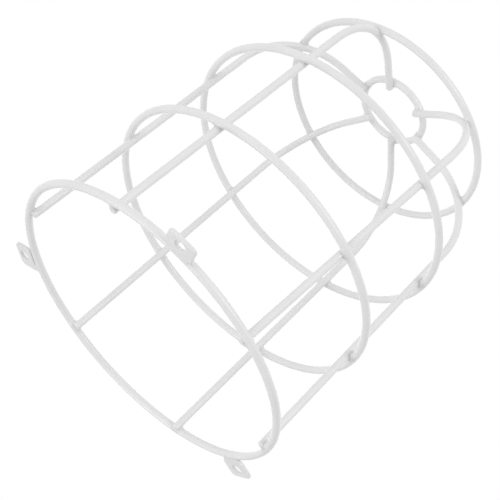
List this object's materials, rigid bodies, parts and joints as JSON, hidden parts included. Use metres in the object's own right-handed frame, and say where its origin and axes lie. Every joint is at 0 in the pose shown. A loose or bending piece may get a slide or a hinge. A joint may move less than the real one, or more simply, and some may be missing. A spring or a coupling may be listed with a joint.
{
  "type": "lamp guard",
  "caption": "Domed cage of white coated steel wire, hoops welded on to bent ribs, with screw lugs round its open base, that keeps knocks off a lamp.",
  "frame": {"origin": "on the mounting face, at the centre of the circle through the screw holes", "axes": "+Z from the mounting face up the guard's axis to the dome; +Y points away from the lug on the -Y side"},
  "size_m": [0.1362, 0.1425, 0.1615],
  "materials": {
    "white_coating": "satin"
  },
  "bodies": {
    "root": {"base_hoop": "white_coating", "lower_hoop": "white_coating", "upper_hoop": "white_coating", "crown_hoop": "white_coating", "centre_ring": "white_coating", "rib_1": "white_coating", "rib_2": "white_coating", "rib_3": "white_coating", "rib_4": "white_coating", "rib_5": "white_coating", "rib_6": "white_coating", "lug_1": "white_coating", "lug_2": "white_coating", "lug_3": "white_coating"}
  },
  "joints": []
}
